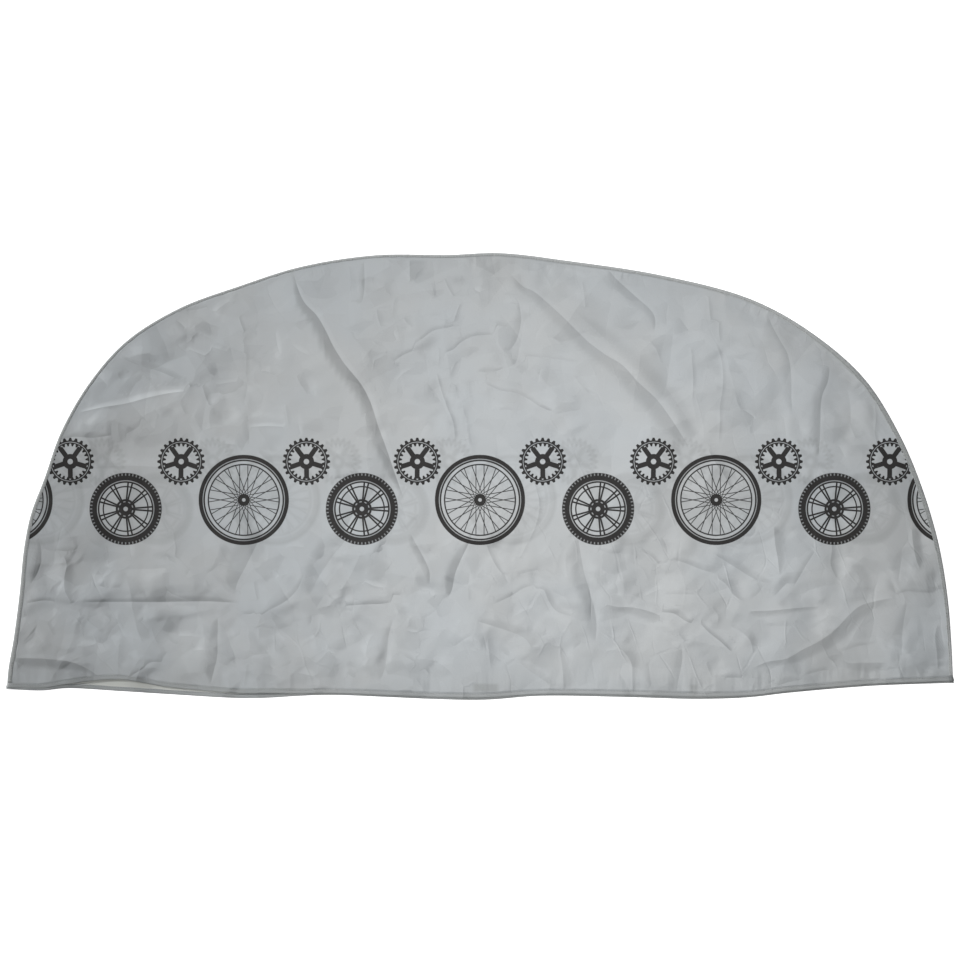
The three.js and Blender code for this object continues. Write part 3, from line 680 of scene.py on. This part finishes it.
def panel_plan(grid, lag_share):
    """Plan of a panel's points by column and row: the folded hem's rows, then even steps."""
    columns, rows = grid
    share = np.linspace(0, 1, columns + 1)
    foot = at_share(hem_line(lag_share), share)
    bound = SIDE_RUN + (1 - 2 * SIDE_RUN) * share
    head = at_share(edge_path, bound) + PANEL_INSET * at_share(edge_in, bound)
    length = np.linalg.norm(head - foot, axis=1)[:, None]
    up = (head - foot) / length
    first = HEM_SECTION[:, 0] / up[:, 1:2]
    steps = np.linspace(0, 1, rows + 2 - len(HEM_SECTION))[1:]
    further = first[:, -1:] + (length - first[:, -1:]) * steps
    distance = np.hstack([first, further])
    plan = foot[:, None, :] + distance[:, :, None] * up[:, None, :]
    corner = np.abs(np.abs(plan[:, :, 0]) - CORNER_X)
    flare = (1 - smoothstep(corner, 0, CORNER_REACH)) * (1 - smoothstep(distance, 0, CORNER_REACH / 2))
    plan[:, :, 0] += CORNER_FLARE * flare * np.sign(plan[:, :, 0])
    return plan


def finish_piece(name, bm):
    mesh = bpy.data.meshes.new(name)
    bm.to_mesh(mesh)
    bm.free()
    mesh.shade_smooth()
    piece = bpy.data.objects.new(name, mesh)
    bpy.context.collection.objects.link(piece)
    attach(piece, "root")
    return piece


def thicken(piece, thickness):
    """Gives a sheet its thickness on its inner side, which takes the second material."""
    wall = piece.modifiers.new("thickness", "SOLIDIFY")
    wall.thickness = thickness * MM
    wall.offset = -1
    wall.use_even_offset = False
    wall.material_offset = 1


def sheet_piece(name, places, flat, marks, thickness, flip):
    """A sheet made of a grid whose points go to places, an array by column and row, with their place
    on the flat cut, and marks for the finish, by name."""
    columns, rows = places.shape[0] - 1, places.shape[1] - 1
    bm = bmesh.new()
    cut = bm.loops.layers.uv.new("cut")
    layers = [(bm.verts.layers.float_vector.new(mark), values) for mark, values in marks.items()]
    bmesh.ops.create_grid(bm, x_segments=columns, y_segments=rows, size=0.5)
    spots = {v: (round((v.co.x + 0.5) * columns), round((v.co.y + 0.5) * rows)) for v in bm.verts}
    for v, spot in spots.items():
        v.co = Vector(places[spot]) * MM
        for layer, values in layers:
            v[layer] = Vector(values[spot])
    for face in bm.faces:
        for loop in face.loops:
            loop[cut].uv = Vector(flat[spots[loop.vert]]) * MM
    if flip:
        bmesh.ops.reverse_faces(bm, faces=bm.faces)
    piece = finish_piece(name, bm)
    thicken(piece, thickness)
    return piece


def panel_piece(name, grid, lag_share, height, inward):
    plan = panel_plan(grid, lag_share)
    columns, rows, _ = plan.shape
    points = plan.reshape(-1, 2)
    fold = np.zeros((columns, rows))
    fold[:, :len(HEM_SECTION)] = HEM_SECTION[:, 1]
    level = height(points).reshape(columns, rows) + inward * fold
    none = np.zeros(len(points))
    shade, line, bend = none, np.zeros((len(points), 3)), none
    if inward < 0:
        _, shade, line, bend = lay_creases(points)
    seam, place = to_seam(points)
    marks = {
        "line": line,
        "lie": np.column_stack([shade, bend, to_hem(points, lag_share)]),
        "rim": np.column_stack([place, seam, none]),
    }
    marks = {mark: values.reshape(columns, rows, 3) for mark, values in marks.items()}
    return sheet_piece(name, np.dstack([plan, level]), plan, marks, CLOTH, flip=inward > 0)


def binding_sizes(share):
    """Width of the tape and height of its upper side along the curved edge, a little uneven."""
    place = share * (edge_length - EDGE_STEP)
    uneven, *waves = BINDING_WIDTH_WAVES
    width = np.interp(share, *zip(*BINDING_WIDTH)) * (1 + uneven * ripple(place, *waves))
    rise, *waves = BINDING_TOP_WAVES
    return width, BINDING_TOP_Z + rise * ripple(place, *waves)


def binding_piece():
    share = np.linspace(BINDING_ENDS, 1 - BINDING_ENDS, round(edge_length / BINDING_STEP))
    width, top = binding_sizes(share)
    inward = np.outer(width, BINDING_SECTION[:, 0])
    height = BINDING_FOOT_Z + np.outer(top - BINDING_FOOT_Z, BINDING_SECTION[:, 1])
    edge, to_inside = [at_share(path, share)[:, None, :] for path in (edge_path, edge_in)]
    places = np.dstack([edge + inward[:, :, None] * to_inside, height])
    flat = np.dstack([np.broadcast_to(share[:, None] * edge_length, height.shape), inward])
    across = np.broadcast_to(BINDING_SECTION[:, :1], (len(share), len(BINDING_SECTION), 3))
    return sheet_piece("binding", places, flat, {"across": across}, TAPE, flip=True)


def stitch_piece(name, places):
    """A row of stitches, each a short soft bar along the line of places."""
    single = bmesh.new()
    bmesh.ops.create_uvsphere(single, u_segments=STITCH_SIDES, v_segments=STITCH_RINGS, radius=1)
    bmesh.ops.scale(single, verts=single.verts, vec=Vector(STITCH_SIZE) * MM)
    bar = bpy.data.meshes.new("bar")
    single.to_mesh(bar)
    single.free()
    row = bmesh.new()
    for place, way in zip(places, unit(np.gradient(places, axis=0))):
        turn = Vector(way).to_track_quat("X", "Z").to_matrix().to_4x4()
        stitch = bar.copy()
        stitch.transform(Matrix.Translation(Vector(place) * MM) @ turn)
        row.from_mesh(stitch)
        bpy.data.meshes.remove(stitch)
    bpy.data.meshes.remove(bar)
    return finish_piece(name, row)


def spaced(length, ends):
    """Shares of a row's length at which its stitches lie, a little unevenly."""
    count = int(length / STITCH_PITCH)
    even = (np.arange(count) + 0.5 + chance.uniform(-STITCH_UNEVEN, STITCH_UNEVEN, count)) / count
    return ends + (1 - 2 * ends) * even


def binding_stitches():
    share = spaced(edge_length, BINDING_STITCH_ENDS)
    width, top = binding_sizes(share)
    plan = at_share(edge_path, share) + (width * STITCH_SHARE)[:, None] * at_share(edge_in, share)
    return stitch_piece("binding_stitches", np.column_stack([plan, top - BINDING_STITCH_SINK]))


def hem_stitches(name, lag_share, height, rise):
    plan = at_share(hem_line(lag_share), spaced(HEM_LENGTH, HEM_STITCH_ENDS)) + (0, HEM_STITCH_IN)
    return stitch_piece(name, np.column_stack([plan, height(plan) + rise]))


class Value:
    """A shader socket that takes part in Python expressions."""

    def __init__(self, finish, socket):
        self.finish = finish
        self.socket = socket

    def math(self, operation, *others):
        return self.finish.node("Math", {"operation": operation}, dict(enumerate((self,) + others)))

    def clipped(self, low, high):
        return self.math("MAXIMUM", low).math("MINIMUM", high)

    def __add__(self, other):
        return self.math("ADD", other)

    def __sub__(self, other):
        return self.math("SUBTRACT", other)

    def __rsub__(self, other):
        return self.finish.node("Math", {"operation": "SUBTRACT"}, {0: other, 1: self})

    def __mul__(self, other):
        return self.math("MULTIPLY", other)

    def __truediv__(self, other):
        return self.math("DIVIDE", other)

    def __rtruediv__(self, other):
        return self.finish.node("Math", {"operation": "DIVIDE"}, {0: other, 1: self})

    __radd__ = __add__
    __rmul__ = __mul__


# Patches of the cloth that lie flat between its creases: how many times longer than wide they are, the
# scale of the noise in their outlines beside their own, and the middle of a random colour.
PATCH_STRETCH = 2
OUTLINE_NOISE = 0.6
MIDDLE = (0.5, 0.5, 0.5)

# The levels of a noise between which patches begin, and half the width of a crease's sharp edge in
# millimetres.
PATCHY = (0.52, 0.66)
SHARP = 0.8


class Finish:
    """A material whose nodes are written as expressions and node calls."""

    def __init__(self, name, **constants):
        self.material = bpy.data.materials.new(name)
        self.material.use_nodes = True
        self.tree = self.material.node_tree
        self.shader = self.tree.nodes["Principled BSDF"]
        self.set(**constants)

    def feed(self, socket, value):
        if isinstance(value, Value):
            self.tree.links.new(value.socket, socket)
        else:
            socket.default_value = value

    def set(self, **sockets):
        for name, value in sockets.items():
            self.feed(self.shader.inputs[name.replace("_", " ")], value)

    def node(self, kind, settings=None, sockets=None, output=0):
        new = self.tree.nodes.new("ShaderNode" + kind)
        for name, value in (settings or {}).items():
            setattr(new, name, value)
        for name, value in (sockets or {}).items():
            self.feed(new.inputs[name], value)
        return Value(self, new.outputs[output])

    def mix(self, share, first, second):
        return self.node("Mix", {"data_type": "RGBA"}, {0: share, 6: first, 7: second}, output=2)

    def vectors(self, operation, *inputs):
        return self.node("VectorMath", {"operation": operation}, dict(enumerate(inputs)))

    def scaled(self, vector, share):
        return self.node("VectorMath", {"operation": "SCALE"}, {0: vector, "Scale": share})

    def noise(self, where, scale, detail, roughness=0.5):
        sockets = {"Vector": where, "Scale": scale, "Detail": detail, "Roughness": roughness}
        return self.node("TexNoise", {}, sockets)

    def wave(self, along, length):
        """Uneven waves of about a length in millimetres along a line."""
        sockets = {"W": along / length, "Scale": 1.0, "Detail": 2.0}
        return self.node("TexNoise", {"noise_dimensions": "1D"}, sockets)

    def ramp(self, value, low, high):
        """0 at low, 1 at high, and soft between."""
        sockets = {"Value": value, "From Min": low, "From Max": high}
        return self.node("MapRange", {"interpolation_type": "SMOOTHSTEP"}, sockets)

    def between(self, value, low, high, soft):
        """1 between low and high and 0 outside them, with soft edges."""
        return self.ramp(value, low - soft, low + soft) * (1 - self.ramp(value, high - soft, high + soft))

    def bump(self, height, strength, distance, normal=None):
        sockets = {"Height": height, "Strength": strength, "Distance": distance}
        if normal is not None:
            sockets["Normal"] = normal
        return self.node("Bump", {}, sockets)

    def parts(self, vector):
        x = self.node("SeparateXYZ", {}, {0: vector})
        return [Value(self, output) for output in x.socket.node.outputs]

    def marks(self, name):
        """The three values that a piece's points carry under a name."""
        return self.parts(self.node("Attribute", {"attribute_name": name}, output=1))

    def object_place(self):
        return self.node("TexCoord", output=3)

    def cut_place(self):
        """Place on the flat cut, as it is and in millimetres."""
        where = self.node("UVMap", {"uv_map": "cut"})
        x, y, _ = self.parts(where)
        return where, x / MM, y / MM

    def patches(self, where, size, heading, wander):
        """What a Voronoi node takes to make patches of about a size in metres, longer along a heading,
        with uneven outlines."""
        turned = {"Vector": where, "Angle": -np.radians(heading)}
        where = self.node("VectorRotate", {"rotation_type": "Z_AXIS"}, turned)
        where = self.vectors("MULTIPLY", where, (1 / PATCH_STRETCH, 1, 1))
        uneven = {"Vector": where, "Scale": OUTLINE_NOISE / size, "Detail": 3.0}
        sway = self.vectors("SUBTRACT", self.node("TexNoise", {}, uneven, output=1), MIDDLE)
        sway = self.vectors("MULTIPLY", sway, (wander, wander, 0))
        return {"Vector": self.vectors("ADD", where, sway), "Scale": 1 / size}

    def facets(self, patches, tilt, normal):
        """Normal tilted at random in each patch."""
        lot = self.node("TexVoronoi", {"voronoi_dimensions": "2D"}, patches, output=1)
        lean = self.vectors("MULTIPLY", self.vectors("SUBTRACT", lot, MIDDLE), (1, 1, 0))
        return self.vectors("NORMALIZE", self.vectors("ADD", normal, self.scaled(lean, tilt)))

    def outlines(self, patches, half_width):
        """1 on the outlines of patches, and 0 past half a width in millimetres."""
        settings = {"voronoi_dimensions": "2D", "feature": "DISTANCE_TO_EDGE"}
        distance = self.node("TexVoronoi", settings, patches) / (patches["Scale"] * MM)
        return 1 - self.ramp(distance, 0.0, half_width)

    def patchy(self, place, scale):
        """1 in some patches and 0 in the rest."""
        return self.ramp(self.noise(place, scale, detail=1.0), *PATCHY)

    def crisp(self, left, width):
        """Shade on either hand of the line's sharp edge, for a step of 1."""
        power = (width / FLATNESS_WIDTH).clipped(LEAST_FLATNESS, FLATNESS)
        shaded = 1 - (left / width).clipped(0.0, 1.0).math("POWER", power)
        beyond = (left / (0 - LIP_SHARE * width)).clipped(0.0, 1.0)
        lit = LIP * (1 - beyond.math("POWER", power))
        return (shaded + lit) * self.ramp(left, -SHARP, SHARP) - lit

    def kink(self, left, bend):
        """Height in millimetres that makes the bend at the line as sharp as it is."""
        share = (1 - left.math("ABSOLUTE") / BLUR).math("MAXIMUM", 0.0)
        return bend * share * share * (-BLUR / 4)


def colour(red, green, blue):
    """Linear colour from the 8-bit values that a screen shows."""
    levels = np.array([red, green, blue]) / 255
    linear = np.where(levels <= 0.04045, levels / 12.92, ((levels + 0.055) / 1.055) ** 2.4)
    return (*map(float, linear), 1.0)


GREY_COOL = colour(177, 182, 185)
GREY_WARM = colour(178, 181, 182)
# The plain inner face is paler than the printed side, partly as painted light where it shows in the shaded
# mouth.
GREY_INSIDE = colour(204, 206, 200)
INK = colour(26, 23, 22)
THROUGH = colour(128, 130, 130)
TAPE_DARK = colour(172, 175, 175)
TAPE_PALE = colour(186, 189, 189)
TAPE_SHADE = colour(108, 111, 110)
THREAD = colour(130, 133, 132)
THREAD_PALE = colour(164, 167, 166)
HEM_SHADE = colour(138, 141, 140)

# The printed band: spoked wheels of two kinds in turn, with cogs between and above them. The softness
# of its edges, how well the ink covers and how much of it is worn, and the same for the back panel's
# band, which shows through turned over and shifted.
BAND_PITCH = 262
BAND_FOOT = -152
THIN_WHEEL = 100
SPOKE_FOOT = 9
STOUT_WHEEL = 80
COG_MIDDLE = (139, 33)
COG_TEETH = 24
TOOTH_STEEPNESS = 1.7
TOOTH_DEPTH = 3
INK_SOFT = 0.55
INK_COVER = 0.985
INK_WORN = 0.3
INK_ROUGH = 0.26
GHOST_SOFT = 5.0
GHOST_COVER = 0.26
GHOST_SHIFT = 70


class Print:
    """The ink of the band at a place on the cut, with edges of a given softness. Radii and widths are
    in millimetres."""

    def __init__(self, finish, soft):
        self.finish = finish
        self.soft = soft

    def within(self, value, edge):
        return 1 - self.finish.ramp(value, edge - self.soft, edge + self.soft)

    def ring(self, radius, inner, outer):
        return self.within(radius, outer) * (1 - self.within(radius, inner))

    def spokes(self, radius, angle, count, swing, half_width):
        turns = (angle + swing) * (count / TURN)
        off = 0.5 - (turns.math("FRACT") - 0.5).math("ABSOLUTE")
        return self.within(off * radius * (TURN / count), half_width)

    def crossed_spokes(self, radius, angle, count, swing, half_width):
        return self.joined(*[
            self.spokes(radius, angle, count, side, half_width) for side in (swing, 0 - swing)])

    def polar(self, x, y):
        return (x * x + y * y).math("SQRT"), y.math("ARCTAN2", x)

    def joined(self, *inks):
        total = inks[0]
        for ink in inks[1:]:
            total = total.math("MAXIMUM", ink)
        return total

    def thin_wheel(self, x, y):
        radius, angle = self.polar(x, y)
        lean = (SPOKE_FOOT / radius).math("ARCCOSINE")
        laced = self.crossed_spokes(radius, angle, 18, lean, 0.9) * self.ring(radius, SPOKE_FOOT, 78)
        tyre = self.ring(radius, 86, THIN_WHEEL) * (1 - 0.8 * self.ring(radius, 89.5, 91.2))
        rim = self.ring(radius, 77, 80)
        hub = self.ring(radius, 4, 13.5)
        return self.joined(tyre, rim, laced, hub)

    def stout_wheel(self, x, y):
        radius, angle = self.polar(x, y)
        spoked = self.crossed_spokes(radius, angle, 9, 0.08, 1.9) * self.ring(radius, 14, 59)
        tread = self.spokes(radius, angle, 60, 0.0, 1.3) * self.ring(radius, 74, 79)
        tyre = self.ring(radius, 58, STOUT_WHEEL) * (1 - 0.75 * self.ring(radius, 61.5, 63.5))
        rim = self.ring(radius, 48, 51)
        hub = self.ring(radius, 5, 22) * (1 - 0.8 * self.ring(radius, 15, 17))
        return self.joined(tyre * (1 - 0.5 * tread), rim, spoked, hub)

    def cog(self, x, y):
        radius, angle = self.polar(x, y)
        teeth = ((angle * COG_TEETH).math("COSINE") * TOOTH_STEEPNESS).clipped(-1.0, 1.0)
        body = self.ring(radius - TOOTH_DEPTH * teeth, 37, 50) * (1 - 0.8 * self.ring(radius, 42.5, 44))
        arms = self.spokes(radius, angle, 5, 0.3, 5.5) * self.ring(radius, 14, 38)
        hub = self.ring(radius, 6, 17)
        return self.joined(body, arms, hub)

    def band(self, x, y):
        def each(shift):
            return ((x / (2 * BAND_PITCH) + shift).math("FRACT") - 0.5) * (2 * BAND_PITCH)
        from_thin, from_stout = each(0.5), each(0.0)
        return self.joined(
            self.thin_wheel(from_thin, y - (BAND_FOOT + THIN_WHEEL)),
            self.stout_wheel(from_stout, y - (BAND_FOOT + STOUT_WHEEL)),
            self.cog(from_thin.math("ABSOLUTE") - COG_MIDDLE[0], y - COG_MIDDLE[1]),
        )


# The flat facets of the cloth: size in metres, heading in degrees and wander of the outlines in metres,
# then the share of the tilt that each kind has. The tilt is largest on the left.
PATCHES = [(0.075, 65, 0.05), (0.05, 110, 0.04), (0.026, 15, 0.02)]
TILT_SHARES = (1.0, 0.9, 0.8)
MOST_TILT = 0.14
TILT_LOSS = 0.075
TILT_FALLS = (-700, 450)

# Crinkle lines on the outlines of the middling facets: half width and rise in millimetres, the scales of
# the patches where they stand up and where they lie in, how much of them is left above the print, and
# from which height on the cloth to which they fall off to that.
CRINKLE_LINE_HALF = 3
CRINKLE_LINE_RISE = 0.24
CRINKLE_LINE_PATCHES = (7, 9)
LEAST_CRINKLE_LINES = 0.35
CRINKLE_LINES_FALL = (-200, 100)

# Softness of the tucks' sides and ends, and how dark they are.
TUCK_SIDE = 6
TUCK_END = 4
TUCK_DARK = 0.5


def inked(finish, place, x, y, base):
    """Colour of the cloth with its print and that of the back panel, and the ink's cover."""
    ghost = Print(finish, GHOST_SOFT).band(GHOST_SHIFT - x, y)
    base = finish.mix(GHOST_COVER * ghost, base, THROUGH)
    worn = finish.ramp(finish.noise(place, scale=240.0, detail=4.0, roughness=0.7), 0.62, 0.82)
    ink = Print(finish, INK_SOFT).band(x, y) * (INK_COVER - INK_WORN * worn)
    return finish.mix(ink, base, INK), ink


def tucked(finish, x, y, base):
    """Colour of the cloth with the doubled patches that show through the hem."""
    for x0, y0, x1, y1 in TUCKS:
        doubled = finish.between(x, x0, x1, TUCK_SIDE) * finish.between(y, y0, y1, TUCK_END)
        base = finish.mix(TUCK_DARK * doubled, base, HEM_SHADE)
    return base


def hemmed(finish, hem, base):
    """Colour of the cloth, darker where the hem is doubled, with painted shade on its roll and a little
    above it.
    """
    doubled = 1 - finish.ramp(hem, 7.5, 10.5)
    rolled = 1 - finish.ramp(hem, 0.6, 2.4)
    above = 1 - finish.ramp(hem, 12, 110)
    return finish.mix(0.4 * doubled + 0.25 * rolled + 0.16 * above, base, HEM_SHADE)


def crinkle_lines(finish, place, y, patches):
    """Height of the thin lines on the outlines of some patches, which lie in where it is negative."""
    up, down = [finish.patchy(place, scale) for scale in CRINKLE_LINE_PATCHES]
    lower = 1 - finish.ramp(y, *CRINKLE_LINES_FALL)
    strength = LEAST_CRINKLE_LINES + (1 - LEAST_CRINKLE_LINES) * lower
    return strength * (finish.outlines(patches, CRINKLE_LINE_HALF) * (up - down))


def puckered(finish, x, hem, normal):
    """Normal of the cloth with fine puckers along the tape and the hem."""
    arc, seam, _ = finish.marks("rim")
    gather = 0.12 + 0.8 * finish.ramp(finish.wave(arc, 170), 0.46, 0.66)
    reach = 14 + 40 * finish.wave(arc, 40)
    by_seam = finish.ramp(seam, 5, 9) * (1 - finish.ramp(seam / reach, 0.35, 1.0)) * gather
    reach = 30 + 80 * finish.wave(x, 70)
    by_hem = finish.ramp(hem, 8, 13) * (1 - finish.ramp(hem / reach, 0.3, 1.0))
    puckers = by_seam * finish.wave(arc, 17) * 1.6 + by_hem * finish.wave(x, 34) * 1.5
    return finish.bump(puckers, 1.0, MM, normal)


def coated_cloth(name, printed):
    """The cloth, whose printed side also has the creases' shade and sharp edges and the hem's shade painted
    in, and shows what its sewing does.
    """
    finish = Finish(name, Specular_IOR_Level=0.45)
    where, x, y = finish.cut_place()
    place = finish.object_place()
    cloudy = finish.noise(place, scale=3.2, detail=3.0, roughness=0.55)
    mottle = finish.noise(place, scale=22.0, detail=4.0, roughness=0.6)
    grain = finish.noise(place, scale=620.0, detail=2.0)
    base = finish.mix(finish.ramp(cloudy, 0.35, 0.65), GREY_COOL, GREY_WARM)
    if not printed:
        base = finish.mix(0.85, base, GREY_INSIDE)
    base = finish.scaled(base, 0.96 + 0.08 * mottle)
    rough = 0.4 + 0.12 * mottle
    if printed:
        base, ink = inked(finish, place, x, y, base)
        rough = rough + INK_ROUGH * ink
    base = tucked(finish, x, y, base)
    normal = finish.node("NewGeometry", output=1)
    tilt = MOST_TILT - TILT_LOSS * finish.ramp(x, *TILT_FALLS)
    large, middling, small = [finish.patches(where, *row) for row in PATCHES]
    for patches, share in zip((large, middling, small), TILT_SHARES):
        normal = finish.facets(patches, share * tilt, normal)
    if printed:
        left, width, step = finish.marks("line")
        shade, bend, hem = finish.marks("lie")
        # Painted shade of the creases, with painted light on their lips: the soft part from the mesh, the
        # sharp edge here.
        base = finish.scaled(base, 1 - shade - step * finish.crisp(left, width))
        base = hemmed(finish, hem, base)
        normal = finish.bump(finish.kink(left, bend), 1.0, MM, normal)
        normal = finish.bump(crinkle_lines(finish, place, y, middling), 1.0, CRINKLE_LINE_RISE * MM, normal)
        normal = puckered(finish, x, hem, normal)
    normal = finish.bump(grain, 0.08, 0.6 * MM, normal)
    finish.set(Base_Color=base, Roughness=rough, Normal=normal)
    return finish.material


def sewn_tape():
    finish = Finish("binding_tape", Specular_IOR_Level=0.35)
    where, x, _ = finish.cut_place()
    place = finish.object_place()
    weave = {"Vector": where, "Scale": 480.0, "Distortion": 1.2, "Detail": 2.0}
    twill = finish.node("TexWave", {"bands_direction": "DIAGONAL"}, weave)
    wear = finish.noise(place, scale=30.0, detail=4.0, roughness=0.6)
    gathers = finish.wave(x, 9) + 0.6 * finish.wave(x, 4)
    base = finish.mix(0.25 * twill + 0.6 * wear, TAPE_DARK, TAPE_PALE)
    across = finish.marks("across")[0]
    # Painted shade along the stitch groove, deeper where the tape gathers, and on the rolled outer rim; the
    # tape is also darker over a stretch on the right.
    sewn = 1 - finish.ramp((across - STITCH_SHARE).math("ABSOLUTE"), 0.03, 0.1)
    rim = 1 - finish.ramp(across, 0.04, 0.16)
    darker_right = finish.ramp(x, *RIGHT_TAPE[0]) * (1 - finish.ramp(x, *RIGHT_TAPE[1]))
    speckle = finish.ramp(finish.noise(place, scale=420.0, detail=2.0, roughness=0.6), 0.4, 0.62)
    pinched = finish.ramp(gathers, 0.85, 1.1)
    dark = sewn * (0.1 + 0.45 * pinched) + 0.35 * rim + darker_right * (0.2 + 0.35 * speckle)
    base = finish.mix(dark, base, TAPE_SHADE)
    normal = finish.bump(gathers, 0.8, MM, finish.bump(twill, 0.25, 0.2 * MM))
    finish.set(Base_Color=base, Roughness=0.62 + 0.15 * wear, Normal=normal)
    return finish.material


def sewing_thread():
    finish = Finish("sewing_thread", Specular_IOR_Level=0.3)
    lay = finish.noise(finish.object_place(), scale=900.0, detail=2.0)
    base = finish.mix(lay, THREAD, THREAD_PALE)
    finish.set(Base_Color=base, Roughness=0.6 + 0.2 * lay, Normal=finish.bump(lay, 0.5, 0.3 * MM))
    return finish.material


outside = coated_cloth("printed_cloth", True)
inside = coated_cloth("plain_cloth", False)
tape = sewn_tape()
thread = sewing_thread()

front_cloth = panel_piece("front_cloth", FRONT_GRID, 1, front_height, -1)
back_cloth = panel_piece("back_cloth", BACK_GRID, 0, back_height, 1)
binding = binding_piece()
edge_sewing = binding_stitches()
front_sewing = hem_stitches("front_hem_stitches", 1, front_height, FRONT_STITCH_RISE)
back_sewing = hem_stitches("back_hem_stitches", 0, back_height, HEM_SECTION[0, 1] + BACK_STITCH_GAP)

for cloth, node in ((front_cloth, "front_panel"), (back_cloth, "back_panel")):
    cloth.data.materials.append(outside)
    cloth.data.materials.append(inside)
    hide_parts(node)
binding.data.materials.append(tape)
binding.data.materials.append(tape)
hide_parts("edge_binding")
for sewing in (edge_sewing, front_sewing, back_sewing):
    sewing.data.materials.append(thread)

# Floor, light and camera, in metres.
FLOOR_HALF = 40
FLOOR_Z = -0.0004
FLOOR_GLOW = 0.85
WHITE = (1, 1, 1, 1)
PALE = (0.8, 0.8, 0.8, 1)
WINDOW_POWER = 3.0
WINDOW_SPREAD = np.radians(9)
TOP_LIGHT = Vector((0.12, -0.07, 6))
TOP_POWER = 815
TOP_CONE = np.radians(29)
TOP_RADIUS = 0.9
WORLD_STRENGTH = 0.1
CAMERA_PLACE = (0, -0.0078, 5.5)
SENSOR_WIDTH = 36
LENS = 92.9

floor_mesh = bmesh.new()
bmesh.ops.create_grid(floor_mesh, x_segments=1, y_segments=1, size=FLOOR_HALF)
bmesh.ops.translate(floor_mesh, verts=floor_mesh.verts, vec=(0, 0, FLOOR_Z))
floor_data = bpy.data.meshes.new("floor")
floor_mesh.to_mesh(floor_data)
floor_mesh.free()
floor = bpy.data.objects.new("floor", floor_data)
bpy.context.collection.objects.link(floor)
pale_floor = Finish("pale_floor", Base_Color=PALE, Roughness=0.9, Specular_IOR_Level=0.0)
pale_floor.set(Emission_Color=WHITE, Emission_Strength=FLOOR_GLOW)
floor_data.materials.append(pale_floor.material)


def light(name, kind, power, place, target):
    """A light at a place, aimed at a target."""
    lamp = bpy.data.lights.new(name, kind)
    lamp.energy = power
    holder = bpy.data.objects.new(name, lamp)
    holder.location = place
    holder.rotation_euler = (Vector(target) - Vector(place)).to_track_quat("-Z", "Y").to_euler()
    bpy.context.collection.objects.link(holder)
    return lamp


towards_window = (*(TOWARDS_LIGHT * np.cos(WINDOW_HEIGHT)), np.sin(WINDOW_HEIGHT))
window = light("window_light", "SUN", WINDOW_POWER, towards_window, (0, 0, 0))
window.angle = WINDOW_SPREAD
above = light("top_light", "SPOT", TOP_POWER, TOP_LIGHT, (TOP_LIGHT.x, TOP_LIGHT.y, 0))
above.spot_size = TOP_CONE
above.spot_blend = 1
above.shadow_soft_size = TOP_RADIUS

scene = bpy.context.scene
scene.world = bpy.data.worlds.new("studio")
scene.world.use_nodes = True
background = scene.world.node_tree.nodes["Background"]
background.inputs["Color"].default_value = WHITE
background.inputs["Strength"].default_value = WORLD_STRENGTH
scene.view_settings.view_transform = "Standard"

camera = bpy.data.objects.new("camera", bpy.data.cameras.new("camera"))
camera.location = CAMERA_PLACE
camera.data.sensor_width = SENSOR_WIDTH
camera.data.lens = LENS
bpy.context.collection.objects.link(camera)
scene.camera = camera
